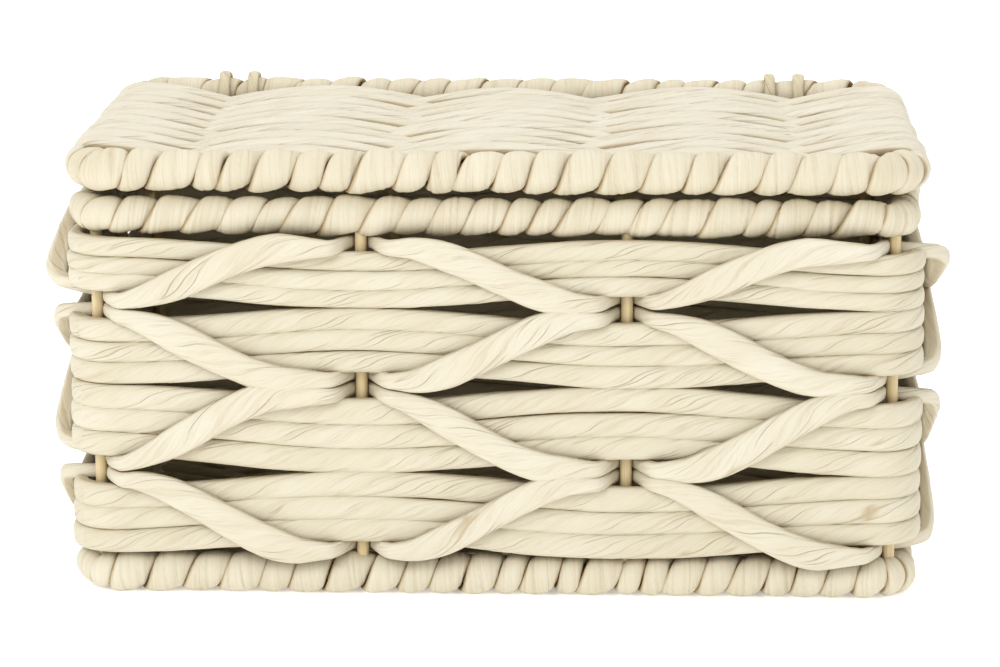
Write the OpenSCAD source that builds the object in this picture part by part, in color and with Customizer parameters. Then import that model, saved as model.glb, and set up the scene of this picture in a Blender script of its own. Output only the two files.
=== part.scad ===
// Lidded storage basket: a frame of rods and stakes, woven with twisted paper strands.
// Origin: middle of the base on the surface it stands on. +X right, +Y back, +Z up.

/* [Basket] */
// Width over the wrapped base rim
basket_w = 320; // [260:1:420]
// Depth over the wrapped base rim
basket_d = 205; // [165:1:300]
// Corner radius of the rim rods, to the middle of the rod
corner_r = 10; // [9:0.5:14]
// Gap between the closed lid and the top rim
lid_gap = 1.6; // [1:0.1:4]
// How far round the lid opens, only shown here
lid_open = 0; // [0:1:200]

/* [Frame] */
// Thickness of the three rim rods
rod_d = 7; // [6:0.5:9]
// Thickness of the upright stakes
stake_d = 4.5; // [3.5:0.1:5]
// Thickness of the rods across the lid and the base
cross_rod_d = 4.5; // [3.5:0.1:5]
// Depth of the sockets that hold the ends of stakes and cross rods
socket_depth = 2.5; // [1:0.1:3]

/* [Rim wraps] */
// Thickness of the wrapped base rim
base_wrap_d = 16; // [14:0.5:20]
// Thickness of the wrapped top rim
top_wrap_d = 14.5; // [12:0.5:16]
// Thickness of the wrapped front rim of the lid
lid_front_wrap_d = 16; // [14:0.5:20]
// Thickness of the wrapped back rim of the lid
lid_back_wrap_d = 14.5; // [12:0.5:15.5]
// How much the underside of the base rim is pressed flat
foot_flat = 0.4; // [0.2:0.1:1]

/* [Wall weave] */
// Height of one strand of the top row
row_1_strand_h = 7.2; // [6:0.1:11]
// Height of one strand of the second row
row_2_strand_h = 8.4; // [6:0.1:11]
// Height of one strand of the third row
row_3_strand_h = 9.5; // [6:0.1:11]
// Height of one strand of the bottom row
row_4_strand_h = 9.3; // [6:0.1:11]
// Thickness of one wall strand
strand_t = 6.5; // [5:0.1:8]
// Opening left between two rows in the middle of a bay
eye_gap = 4.6; // [3.6:0.1:7]
// Width of a lacing strand where it crosses a row
lace_w = 10; // [7:0.1:13]
// Thickness of a lacing strand
lace_t = 5.5; // [4:0.1:6.5]
// How far a crossing lacing strand stands off the row
lace_stand_off = 1.5; // [0.5:0.1:4]
// Length over which a lacing strand comes out from behind a stake
lace_exit = 16.5; // [15:0.5:19]

/* [Lid and base weave] */
// Thickness of the strands across the lid
lid_strand_t = 4; // [3:0.1:4.5]
// Thickness of the strands across the base
base_strand_t = 4; // [3:0.1:4.5]
// Number of strands across the base
base_strands_count = 20; // [16:1:24]

/* [Hinge ties] */
// Distance of each tie from the middle of the back
tie_x = 114; // [105:1:125]
// Distance between the two loops of a tie
loop_spacing = 12; // [8:1:16]
// Thickness of the tie's cord
tie_cord_d = 3; // [2:0.1:3.5]
// Diameter of the knot on each tie
knot_d = 5.6; // [4.5:0.1:7]
// Play of the loops round the two rims
tie_play = 0.75; // [0.4:0.05:1.2]

/* [Fits] */
// Gap between neighbouring strands, and between a strand and what it passes
fit_gap = 0.2; // [0.1:0.05:0.4]
// Play round a stake or rod in its socket or wrap
socket_play = 0.1; // [0.05:0.05:0.2]
// Room that the opened lid leaves round the tie loops
slot_play = 2.4; // [2:0.1:4]

/* [Hidden] */
$fn = 48;
strand_heights = [row_1_strand_h, row_2_strand_h, row_3_strand_h, row_4_strand_h];
rows = len(strand_heights);
lid_strands = 19;
rod_half_w = (basket_w - base_wrap_d) / 2;
rod_half_d = (basket_d - base_wrap_d) / 2;
straight_w = rod_half_w - corner_r;
straight_d = rod_half_d - corner_r;
corner_stake = corner_r * sin(45);

// Heights, from the floor up
base_z = base_wrap_d / 2 - foot_flat;
function row_h(row) = 3 * strand_heights[row - 1] + eye_gap;
function rows_h(last) = last == 0 ? 0 : row_h(last) + rows_h(last - 1);
rows_z = base_z + base_wrap_d / 2 + fit_gap;
rows_top = rows_z + rows_h(rows);
top_z = rows_top + fit_gap + top_wrap_d / 2;
lid_z = top_z + top_wrap_d / 2 + lid_gap + lid_front_wrap_d / 2;

// Distances outward from the line of the stakes
strand_in = stake_d / 2 + fit_gap / 2;
strand_out = strand_in + strand_t;
lace_in = -(stake_d / 2 + fit_gap + lace_t / 2);
lace_out = strand_out + lace_t / 2 + lace_stand_off;

// Stakes, anticlockwise from the front left corner: place and name
front_step = (straight_w + corner_stake) * 2 / 3;
stake_x = straight_w + corner_stake;
stake_y = straight_d + corner_stake;
STAKES = [
    ["stake_front_left", [-stake_x, -stake_y]],
    ["stake_front_mid_left", [-front_step / 2, -rod_half_d]],
    ["stake_front_mid_right", [front_step / 2, -rod_half_d]],
    ["stake_front_right", [stake_x, -stake_y]],
    ["stake_right_mid", [rod_half_w, 0]],
    ["stake_back_right", [stake_x, stake_y]],
    ["stake_back_mid_right", [front_step / 2, rod_half_d]],
    ["stake_back_mid_left", [-front_step / 2, rod_half_d]],
    ["stake_back_left", [-stake_x, stake_y]],
    ["stake_left_mid", [-rod_half_w, 0]]
];

// Hinge ties: two parallel loops round the back rims of lid and basket
loop_r = max(top_wrap_d, lid_back_wrap_d) / 2 + tie_play + tie_cord_d / 2;
loop_outer = loop_r + tie_cord_d / 2;
tie_link_z = top_z + tie_cord_d;
tie_link_out = max(loop_r, (top_wrap_d + knot_d) / 2 + fit_gap);

// Weave of lid and base
cross_step = rod_half_w / 2;
cross_xs = [-cross_step, 0, cross_step];
lid_back_edge = rod_half_d - loop_outer - slot_play;
lid_front_edge = -(straight_d - fit_gap);
lid_pitch = (lid_back_edge - lid_front_edge) / lid_strands;
base_pitch = 2 * straight_d / base_strands_count;

STRAND_LEVELS = ["lower", "middle", "upper"];
function two_digits(i) = str(i < 10 ? "0" : "", i);
function row_strand(row, level) = str("row_", row, "_", STRAND_LEVELS[level], "_strand");
function row_lacing(row) = str("row_", row, "_lacing");
function lid_strand_name(i) = str("lid_strand_", two_digits(i));

// ---- Shared shapes ----

// Sweeps a profile (x outward, y up) once round the basket, centred on the line of the stakes
module ring_sweep() {
    for (side = [0 : 3]) {
        half_run = side % 2 == 0 ? straight_w : straight_d;
        out = side % 2 == 0 ? rod_half_d : rod_half_w;
        rotate([0, 0, 90 * side])
            translate([-half_run, -out, 0])
                rotate([90, 0, 90])
                    linear_extrude(height = 2 * half_run) mirror([1, 0]) children();
    }
    for (sx = [-1, 1], sy = [-1, 1])
        translate([sx * straight_w, sy * straight_d, 0])
            rotate([0, 0, corner_turn(sx, sy)])
                rotate_extrude(angle = 90) translate([corner_r, 0]) children();
}

function corner_turn(sx, sy) = sy > 0 ? (sx > 0 ? 0 : 90) : (sx > 0 ? 270 : 180);

module wrap_profile(d) {
    difference() {
        circle(d = d);
        circle(d = rod_d + 2 * socket_play);
    }
}

// Upright holes for the stakes
module stake_holes(depth, z) {
    for (stake = STAKES)
        translate([stake[1][0], stake[1][1], z])
            cylinder(d = stake_d + 2 * socket_play, h = depth);
}

// Level holes for the cross rods, at the front and the back
module cross_rod_holes(reach, back_reach) {
    for (x = cross_xs) {
        translate([x, -reach, 0]) rotate([-90, 0, 0])
            cylinder(d = cross_rod_d + 2 * socket_play, h = basket_d / 3);
        translate([x, back_reach, 0]) rotate([90, 0, 0])
            cylinder(d = cross_rod_d + 2 * socket_play, h = basket_d / 3);
    }
}

socket_floor = rod_d / 2 - socket_depth;
cross_reach = rod_half_d - socket_floor;

module cross_rods() {
    for (x = cross_xs)
        translate([x, -cross_reach, 0]) rotate([-90, 0, 0])
            cylinder(d = cross_rod_d, h = 2 * cross_reach);
}

// ---- Frame of the basket ----

module base_rod() {
    color("burlywood")
    translate([0, 0, base_z])
        difference() {
            ring_sweep() circle(d = rod_d);
            stake_holes(rod_d, socket_floor);
            cross_rod_holes(cross_reach, cross_reach);
        }
}

module top_rod() {
    color("burlywood")
    translate([0, 0, top_z])
        difference() {
            ring_sweep() circle(d = rod_d);
            stake_holes(rod_d, -socket_floor - rod_d);
        }
}

module base_wrap() {
    color("antiquewhite")
    translate([0, 0, base_z])
        difference() {
            ring_sweep()
                difference() {
                    wrap_profile(base_wrap_d);
                    translate([-base_wrap_d, -base_z - base_wrap_d]) square([2 * base_wrap_d, base_wrap_d]);
                }
            stake_holes(base_wrap_d, 0);
            cross_rod_holes(rod_half_d, rod_half_d);
        }
}

module top_wrap() {
    color("antiquewhite")
    translate([0, 0, top_z])
        difference() {
            ring_sweep() wrap_profile(top_wrap_d);
            stake_holes(top_wrap_d, -top_wrap_d);
        }
}

module stake(place) {
    stake_foot = base_z + socket_floor;
    stake_head = top_z - socket_floor;
    color("burlywood")
    translate([place[0], place[1], stake_foot]) cylinder(d = stake_d, h = stake_head - stake_foot);
}

module base_cross_rods() {
    color("burlywood") translate([0, 0, base_z]) cross_rods();
}

// ---- Plain weave of lid and base ----

// Height of a strand over its bed, at x: over a rod, under the next
function weave_z(x, side, bed, end_bed) =
    let (past = max(0, min(1, (abs(x) - cross_step) / (rod_half_w - cross_step))))
    side * cos(180 * x / cross_step) * (bed + (end_bed - bed) * past * past * (3 - 2 * past));

// Outline of a band of thickness t along a path of points
function normal_at(path, i) =
    let (a = path[max(0, i - 1)], b = path[min(len(path) - 1, i + 1)], d = (b - a) / norm(b - a))
    [-d[1], d[0]];
function band_outline(path, t) = concat(
    [for (i = [0 : len(path) - 1]) path[i] + normal_at(path, i) * t / 2],
    [for (i = [len(path) - 1 : -1 : 0]) path[i] - normal_at(path, i) * t / 2]
);

module weave_band(path, t, width) {
    translate([0, width / 2, 0]) rotate([90, 0, 0])
        linear_extrude(height = width) polygon(band_outline(path, t));
}

weave_steps = 32;
hook_step = 15;
hook_end = 165;

// A lid strand: woven over and under the cross rods, and hooked round the side rods
function lid_path(side) =
    let (
        bed = (cross_rod_d + fit_gap + lid_strand_t) / 2,
        end_bed = (rod_d + fit_gap + lid_strand_t) / 2,
        run = [for (k = [0 : weave_steps])
            let (x = rod_half_w * (2 * k / weave_steps - 1)) [x, weave_z(x, side, bed, end_bed)]],
        hook = [for (a = [hook_step : hook_step : hook_end])
            [rod_half_w + end_bed * sin(a), side * end_bed * cos(a)]]
    )
    concat([for (k = [len(hook) - 1 : -1 : 0]) [-hook[k][0], hook[k][1]]], run, hook);

module lid_strand(i) {
    side = i % 2 == 0 ? 1 : -1;
    color("cornsilk")
    translate([0, lid_front_edge + (i - 0.5) * lid_pitch, lid_z])
        weave_band(lid_path(side), lid_strand_t, lid_pitch - fit_gap);
}

module base_strands() {
    bed = (cross_rod_d + fit_gap + base_strand_t) / 2;
    half_run = rod_half_w - base_wrap_d / 2 - fit_gap;
    color("cornsilk")
    for (i = [1 : base_strands_count]) {
        side = i % 2 == 0 ? 1 : -1;
        path = [for (k = [0 : weave_steps])
            let (x = half_run * (2 * k / weave_steps - 1)) [x, weave_z(x, side, bed, bed)]];
        translate([0, (i - 0.5) * base_pitch - straight_d, base_z])
            weave_band(path, base_strand_t, base_pitch - fit_gap);
    }
}

// ---- Walls: three strands round every row, and one strand lacing them ----

// +1 where the row's lacing strand passes under it at a stake, -1 where it passes over
function lace_side(row, k) = (k + row) % 2 == 0 ? -1 : 1;
function ease(t) = let (c = max(0, min(1, t))) c * c * (3 - 2 * c);

// How far a row's strands are lifted at x, between stake positions a and b with lifts la and lb
lift_clear = lace_exit + 6;
function lift_between(x, a, b, la, lb) =
    la + (lb - la) * ease((x - a - lift_clear) / (b - a - 2 * lift_clear));
function wall_lift(x, stops, lifts) =
    let (k = len([for (i = [1 : len(stops) - 2]) if (x > stops[i]) 1]))
    lift_between(x, stops[k], stops[k + 1], lifts[k], lifts[k + 1]);

wall_steps = 9;
WALL_FIRST_STAKE = [0, 3, 5, 8];
function wall_bays(wall) = wall % 2 == 0 ? 3 : 2;

module wall_band(row, wall, z, height) {
    bays = wall_bays(wall);
    half_run = wall % 2 == 0 ? straight_w : straight_d;
    end_stop = half_run + corner_stake;
    stops = [for (i = [0 : bays]) end_stop * (2 * i / bays - 1)];
    lifts = [for (i = [0 : bays]) lace_side(row, WALL_FIRST_STAKE[wall] + i) * eye_gap / 2];
    steps = wall_steps * bays;
    xs = [for (i = [0 : steps]) half_run * (2 * i / steps - 1)];
    lower = [for (x = xs) [x, z - height / 2 + wall_lift(x, stops, lifts)]];
    upper = [for (i = [steps : -1 : 0]) [xs[i], z + height / 2 + wall_lift(xs[i], stops, lifts)]];
    out = wall % 2 == 0 ? rod_half_d : rod_half_w;
    rotate([0, 0, 90 * wall])
        translate([0, -out - strand_in, 0])
            rotate([90, 0, 0]) linear_extrude(height = strand_t) polygon(concat(lower, upper));
}

CORNER_OF_STAKE = [[0, -1, -1], [3, 1, -1], [5, 1, 1], [8, -1, 1]];

module wall_ring(row, z, height) {
    for (wall = [0 : 3]) wall_band(row, wall, z, height);
    for (corner = CORNER_OF_STAKE)
        translate([corner[1] * straight_w, corner[2] * straight_d,
                   z - height / 2 + lace_side(row, corner[0]) * eye_gap / 2])
            rotate([0, 0, corner_turn(corner[1], corner[2])])
                rotate_extrude(angle = 90)
                    translate([corner_r + strand_in, 0]) square([strand_t, height]);
}

function row_bottom(row) = rows_top - rows_h(row);

module row_strand(row, level) {
    z = row_bottom(row) + eye_gap / 2 + (level + 0.5) * strand_heights[row - 1];
    color("cornsilk")
    difference() {
        wall_ring(row, z, strand_heights[row - 1] - fit_gap);
        if (row == 1 && level == 2) tie_grooves();
    }
}

// A lacing strand passes behind each stake and crosses the row diagonally between stakes
lace_turn = lace_exit / 8;
widen_from = lace_exit + 5;
widen_over = 15;
neck_h = eye_gap - fit_gap;
lace_sides = 8;

// Places along a bay of the given length where the lacing strand has a ring of points
function lace_stops(length) =
    let (
        coming_out = [for (f = [0, 0.18, 0.42, 0.66, 1]) f * lace_exit],
        crossing = [for (f = [0.17, 0.38]) lace_exit + f * (length - 2 * lace_exit)],
        near = concat(coming_out, crossing)
    )
    concat(near, [for (i = [len(near) - 1 : -1 : 1]) length - near[i]]);

// Length round the basket from the front left stake to each stake, along the line of the stakes
half_corner = corner_r * PI / 4;
function side_lengths() =
    let (
        front = half_corner + straight_w - front_step / 2,
        middle = front_step,
        side = half_corner + straight_d
    )
    [front, middle, front, side, side, front, middle, front, side, side];
bay_lengths = side_lengths();
function stake_s(k) = k == 0 ? 0 : stake_s(k - 1) + bay_lengths[k - 1];
perimeter = stake_s(10);

// Point and outward direction at length s round the basket
function arc_at(centre, start, s) =
    let (a = start + s / corner_r * 180 / PI)
    [[centre[0] + corner_r * cos(a), centre[1] + corner_r * sin(a)], [cos(a), sin(a)]];
function round_at(s) =
    let (c = half_corner, w = 2 * straight_w, d = 2 * straight_d, q = 2 * half_corner, t = s % perimeter)
    t < c ? arc_at([-straight_w, -straight_d], 225, t) :
    t < c + w ? [[t - c - straight_w, -rod_half_d], [0, -1]] :
    t < c + w + q ? arc_at([straight_w, -straight_d], 270, t - c - w) :
    t < c + w + q + d ? [[rod_half_w, t - c - w - q - straight_d], [1, 0]] :
    t < c + w + 2 * q + d ? arc_at([straight_w, straight_d], 0, t - c - w - q - d) :
    t < c + 2 * w + 2 * q + d ? [[straight_w - (t - c - w - 2 * q - d), rod_half_d], [0, 1]] :
    t < c + 2 * w + 3 * q + d ? arc_at([-straight_w, straight_d], 90, t - c - 2 * w - 2 * q - d) :
    t < c + 2 * w + 3 * q + 2 * d ?
        [[-rod_half_w, straight_d - (t - c - 2 * w - 3 * q - d)], [-1, 0]] :
    arc_at([-straight_w, -straight_d], 180, t - c - 2 * w - 3 * q - 2 * d);

function lace_low(row) = row_bottom(row) + eye_gap / 2;
function lace_high(row) = row_bottom(row - 1) - eye_gap / 2;
function lace_point(row, k, s) =
    let (
        length = bay_lengths[k],
        at = round_at(stake_s(k) + s),
        near = min(s, length - s),
        n = lace_in + (lace_out - lace_in) * ease((near - lace_turn) / (lace_exit - lace_turn)),
        low = lace_low(row),
        high = lace_high(row),
        rise = ease((s - lace_exit) / (length - 2 * lace_exit)),
        z = lace_side(row, k) > 0 ? low + (high - low) * rise : high - (high - low) * rise
    )
    [at[0][0] + n * at[1][0], at[0][1] + n * at[1][1], z];
// A lacing strand opens out from its neck as fast as it clears the next row's strand
function lace_height(near, travel) =
    neck_h + min((lace_w - neck_h) * ease((near - widen_from) / widen_over), 2 * travel);

function unit(v) = v / norm(v);
nudge = 2;
function lace_ring(row, k, s) =
    let (
        length = bay_lengths[k],
        p = lace_point(row, k, s),
        last = (k + 9) % 10,
        before = s > 0 ? lace_point(row, k, s - nudge) : lace_point(row, last, bay_lengths[last] - nudge),
        after = lace_point(row, k, s + nudge),
        along = unit(after - before),
        outward = concat(round_at(stake_s(k) + s)[1], [0]),
        up = unit(cross(outward, along)),
        across = cross(along, up),
        travel = min(abs(p[2] - lace_low(row)), abs(lace_high(row) - p[2])),
        height = lace_height(min(s, length - s), travel)
    )
    [for (j = [0 : lace_sides - 1])
        let (a = 360 * (j + 0.5) / lace_sides, fit = 1 / cos(180 / lace_sides))
        p + across * cos(a) * fit * lace_t / 2 + up * sin(a) * fit * height / 2];

module row_lacing(row) {
    rings = [for (k = [0 : 9], s = lace_stops(bay_lengths[k])) lace_ring(row, k, s)];
    count = len(rings);
    points = [for (ring = rings, p = ring) p];
    faces = [for (i = [0 : count - 1], j = [0 : lace_sides - 1])
        let (
            next_i = (i + 1) % count,
            next_j = (j + 1) % lace_sides,
            a = i * lace_sides + j,
            b = i * lace_sides + next_j,
            c = next_i * lace_sides + next_j,
            d = next_i * lace_sides + j
        )
        each [[a, c, b], [a, d, c]]];
    color("moccasin") polyhedron(points, faces);
}

// ---- Hinge ties ----

module tie_loop(x) {
    translate([x, rod_half_d, 0])
        rotate([90, 0, 90]) {
            translate([0, lid_z]) rotate_extrude(angle = 180) translate([loop_r, 0]) circle(d = tie_cord_d);
            translate([0, top_z]) rotate([0, 0, 180])
                rotate_extrude(angle = 180) translate([loop_r, 0]) circle(d = tie_cord_d);
            for (s = [-1, 1])
                translate([s * loop_r, top_z, 0]) rotate([-90, 0, 0]) cylinder(d = tie_cord_d, h = lid_z - top_z);
        }
}

module hinge_tie(x) {
    color("wheat")
    union() {
        tie_loop(x - loop_spacing / 2);
        tie_loop(x + loop_spacing / 2);
        translate([x - loop_spacing / 2, rod_half_d + tie_link_out, tie_link_z])
            rotate([0, 90, 0]) cylinder(d = tie_cord_d, h = loop_spacing);
        translate([x - knot_d / 2, rod_half_d + tie_link_out, tie_link_z])
            rotate([0, 90, 0]) cylinder(d = knot_d, h = knot_d);
    }
}

// Where the loops press into the uppermost strand
module tie_grooves() {
    for (x = [-tie_x, tie_x], side = [-1, 1])
        translate([x + side * loop_spacing / 2 - tie_cord_d / 2 - fit_gap, rod_half_d, top_z])
            rotate([0, 90, 0]) cylinder(r = loop_outer + fit_gap, h = tie_cord_d + 2 * fit_gap);
}

// ---- Lid ----

module lid_rod() {
    color("burlywood")
    translate([0, 0, lid_z])
        difference() {
            ring_sweep() circle(d = rod_d);
            cross_rod_holes(cross_reach, cross_reach);
        }
}

// The part of a wrapped rim that lies in front of (or behind) y
module half_ring(sy, y, d) {
    intersection() {
        ring_sweep() wrap_profile(d);
        translate([-basket_w, sy > 0 ? y : y - basket_d, -d]) cube([2 * basket_w, basket_d, 2 * d]);
    }
}

module lid_front_wrap() {
    color("antiquewhite")
    translate([0, 0, lid_z])
        difference() {
            half_ring(-1, -straight_d, lid_front_wrap_d);
            cross_rod_holes(rod_half_d, rod_half_d);
        }
}

module lid_back_wrap() {
    color("antiquewhite")
    translate([0, 0, lid_z])
        difference() {
            half_ring(1, lid_back_edge + fit_gap, lid_back_wrap_d);
            cross_rod_holes(rod_half_d, rod_half_d);
        }
}

module lid_cross_rods() {
    color("burlywood") translate([0, 0, lid_z]) cross_rods();
}

// Turns the lid about its back rod, for viewing only
module on_lid() {
    translate([0, rod_half_d, lid_z])
        rotate([-lid_open, 0, 0])
            translate([0, -rod_half_d, -lid_z]) children();
}

// ---- The basket ----

base_rod();
base_wrap();
base_cross_rods();
base_strands();
top_rod();
top_wrap();
for (place = STAKES)
    stake(place[1]);
for (row = [1 : rows], level = [0 : 2])
    row_strand(row, level);
for (row = [1 : rows])
    row_lacing(row);
hinge_tie(-tie_x);  // left_hinge_tie
hinge_tie(tie_x);  // right_hinge_tie

// ---- The lid ----

on_lid() lid_rod();
on_lid() lid_front_wrap();
on_lid() lid_back_wrap();
on_lid() lid_cross_rods();
for (i = [1 : lid_strands])
    on_lid() lid_strand(i);
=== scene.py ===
import math

import bmesh
import bpy
import numpy as np
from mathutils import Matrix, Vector


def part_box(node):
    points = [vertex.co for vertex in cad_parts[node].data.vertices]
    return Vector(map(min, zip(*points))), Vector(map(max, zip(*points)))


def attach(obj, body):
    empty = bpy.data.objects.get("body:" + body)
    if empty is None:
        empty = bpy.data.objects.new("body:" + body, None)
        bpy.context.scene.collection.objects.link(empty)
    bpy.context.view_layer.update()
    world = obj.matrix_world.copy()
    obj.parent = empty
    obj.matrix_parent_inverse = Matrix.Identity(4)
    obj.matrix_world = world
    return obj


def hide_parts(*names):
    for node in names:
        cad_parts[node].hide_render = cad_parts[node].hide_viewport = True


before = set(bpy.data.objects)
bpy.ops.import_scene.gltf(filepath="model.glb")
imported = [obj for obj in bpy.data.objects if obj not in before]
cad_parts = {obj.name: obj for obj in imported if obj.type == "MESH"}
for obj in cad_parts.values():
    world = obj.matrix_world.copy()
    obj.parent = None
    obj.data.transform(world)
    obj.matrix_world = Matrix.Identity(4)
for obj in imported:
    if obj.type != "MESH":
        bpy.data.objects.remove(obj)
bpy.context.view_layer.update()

# Lidded basket of twisted paper strands. Every strand and wrapped rim is swept along the line
# that its CAD node holds; sizes and places are read from the frame. Lengths are in metres.

MM = 0.001
TAU = 2 * math.pi

# ---------------------------------------------------------------- camera

CAMERA_AZIMUTH = 2.1
CAMERA_ELEVATION = 12.2
CAMERA_DISTANCE = 1.51
CAMERA_LENS = 136.0
CAMERA_TARGET = (-0.0012, 0.0, 0.0800)


def make_camera():
    azimuth, elevation = math.radians(CAMERA_AZIMUTH), math.radians(CAMERA_ELEVATION)
    target = Vector(CAMERA_TARGET)
    back = Vector((math.sin(azimuth) * math.cos(elevation),
                   -math.cos(azimuth) * math.cos(elevation), math.sin(elevation)))
    data = bpy.data.cameras.new("camera")
    data.lens = CAMERA_LENS
    data.sensor_width = 36.0
    data.clip_end = 50.0
    camera = bpy.data.objects.new("camera", data)
    bpy.context.scene.collection.objects.link(camera)
    camera.location = target + back * CAMERA_DISTANCE
    camera.rotation_euler = (-back).to_track_quat("-Z", "Y").to_euler()
    bpy.context.scene.camera = camera


# ---------------------------------------------------------------- sizes from the frame


def middle(node):
    low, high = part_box(node)
    return (low + high) / 2


def extent(node):
    low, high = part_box(node)
    return high - low


ROD_R = extent("top_rod").z / 2
STAKE_R = extent("stake_front_left").x / 2
HALF_W = extent("top_rod").x / 2 - ROD_R
HALF_D = extent("top_rod").y / 2 - ROD_R
CORNER_R = (HALF_W - abs(middle("stake_front_left").x)) / (1 - math.sqrt(0.5))
STRAIGHT_W = HALF_W - CORNER_R
STRAIGHT_D = HALF_D - CORNER_R
BASE_Z = middle("base_rod").z
TOP_Z = middle("top_rod").z
LID_Z = middle("lid_rod").z
BASE_WRAP_R = extent("base_wrap").x / 2 - HALF_W
TOP_WRAP_R = extent("top_wrap").z / 2
LID_FRONT_R = extent("lid_front_wrap").z / 2
LID_BACK_R = extent("lid_back_wrap").z / 2

LEVELS = ("lower", "middle", "upper")
ROWS = (1, 2, 3, 4)
ROW_SQUEEZE = 0.955  # the three strands of a row are pressed together by this much
ROW_CENTRE = {row: middle(f"row_{row}_middle_strand").z for row in ROWS}
STRAND_PITCH = {row: middle(f"row_{row}_upper_strand").z - ROW_CENTRE[row] for row in ROWS}
ROW_HALF = {row: 1.5 * STRAND_PITCH[row] * ROW_SQUEEZE for row in ROWS}
EYE_OPEN = ROW_CENTRE[1] - ROW_CENTRE[2] - ROW_HALF[1] - ROW_HALF[2]
STRAND_OUT = extent("row_2_middle_strand").x / 2 - HALF_W

STAKES = ("stake_front_left", "stake_front_mid_left", "stake_front_mid_right", "stake_front_right",
          "stake_right_mid", "stake_back_right", "stake_back_mid_right", "stake_back_mid_left",
          "stake_back_left", "stake_left_mid")

# ---------------------------------------------------------------- the line round the basket

QUARTER = CORNER_R * math.pi / 2
# Each arc has its centre and first angle, each straight run its outward normal, and both end in a length
RUNS = [("arc", -STRAIGHT_W, -STRAIGHT_D, 225, QUARTER / 2), ("run", 0, -1, 2 * STRAIGHT_W),
        ("arc", STRAIGHT_W, -STRAIGHT_D, 270, QUARTER), ("run", 1, 0, 2 * STRAIGHT_D),
        ("arc", STRAIGHT_W, STRAIGHT_D, 0, QUARTER), ("run", 0, 1, 2 * STRAIGHT_W),
        ("arc", -STRAIGHT_W, STRAIGHT_D, 90, QUARTER), ("run", -1, 0, 2 * STRAIGHT_D),
        ("arc", -STRAIGHT_W, -STRAIGHT_D, 180, QUARTER / 2)]
PERIMETER = sum(run[-1] for run in RUNS)


def round_at(s):
    """Points (n, 2) on the line of the stakes and outward directions (n, 2), at lengths s from the front
    left corner stake, anticlockwise seen from above."""
    s = np.mod(np.asarray(s, float), PERIMETER)
    points, outward = np.zeros((len(s), 2)), np.zeros((len(s), 2))
    start = 0.0
    for run in RUNS:
        length = run[-1]
        here = (s >= start) & (s <= start + length + 1e-12)
        t = s[here] - start
        if run[0] == "arc":
            angle = math.radians(run[3]) + t / CORNER_R
            direction = np.stack([np.cos(angle), np.sin(angle)], 1)
            points[here] = np.array(run[1:3]) + CORNER_R * direction
            outward[here] = direction
        else:
            normal = np.array(run[1:3], float)
            along = np.array([-normal[1], normal[0]])
            half = length / 2
            reach = HALF_D if run[1] == 0 else HALF_W
            points[here] = normal * reach + np.outer(t - half, along)
            outward[here] = normal
        start += length
    return points, outward


def bay_lengths():
    front_gap = abs(middle("stake_front_mid_left").x)
    corner_bay = QUARTER / 2 + STRAIGHT_W - front_gap
    side_bay = QUARTER / 2 + STRAIGHT_D
    long_side = [corner_bay, 2 * front_gap, corner_bay]
    return np.array(long_side + [side_bay, side_bay] + long_side + [side_bay, side_bay])


BAYS = bay_lengths()
STAKE_S = np.concatenate([[0.0], np.cumsum(BAYS)])


def bay_of(s):
    """Bay number and the length along it, at lengths s."""
    s = np.mod(s, PERIMETER)
    k = np.clip(np.searchsorted(STAKE_S, s, side="right") - 1, 0, len(BAYS) - 1)
    return k, s - STAKE_S[k]


def lace_side(row, k):
    """+1 where the row's lacing strand passes under the row at stake k, -1 where it passes over it."""
    return np.where((k % 10 + row) % 2 == 0, -1.0, 1.0)


# ---------------------------------------------------------------- helpers for shape


def ease(t):
    t = np.clip(t, 0, 1)
    return t * t * (3 - 2 * t)


def wander(rng, length, s, step, closed=False):
    """A smooth random line, about -1 to 1, that changes over each step of length."""
    count = max(4, int(round(length / step)))
    knots = rng.uniform(-1, 1, count + 4)
    if closed:
        knots[count:] = knots[:4]
    t = s / length * count
    i = np.floor(t).astype(int)
    f = t - i
    i = np.clip(i, 0, count)
    a, b = knots[i], knots[np.minimum(i + 1, count + 3)]
    return a + (b - a) * f * f * (3 - 2 * f)


def directions(path, out, closed):
    """Sideways and outward unit vectors along a path."""
    if closed:
        tangent = np.roll(path, -1, 0) - np.roll(path, 1, 0)
    else:
        tangent = np.gradient(path, axis=0)
    tangent /= np.linalg.norm(tangent, axis=1, keepdims=True)
    side = np.cross(out, tangent)
    side /= np.linalg.norm(side, axis=1, keepdims=True)
    return side, np.cross(tangent, side)


def lengths_along(path, closed):
    steps = np.linalg.norm(np.diff(path, axis=0), axis=1)
    s = np.concatenate([[0.0], np.cumsum(steps)])
    total = s[-1] + (np.linalg.norm(path[0] - path[-1]) if closed else 0.0)
    return s, total


def wrapped(a):
    return (a + math.pi) % TAU - math.pi


FOLD_EXTENT = 2.2  # a fold is followed this many times its own length, where it has faded out
LIP_HEIGHT = 0.55  # the raised lip beside a fold, in the fold's own depth
LIP_AWAY = 1.7  # and in its own width
LIP_WIDTH = 1.3


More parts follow.
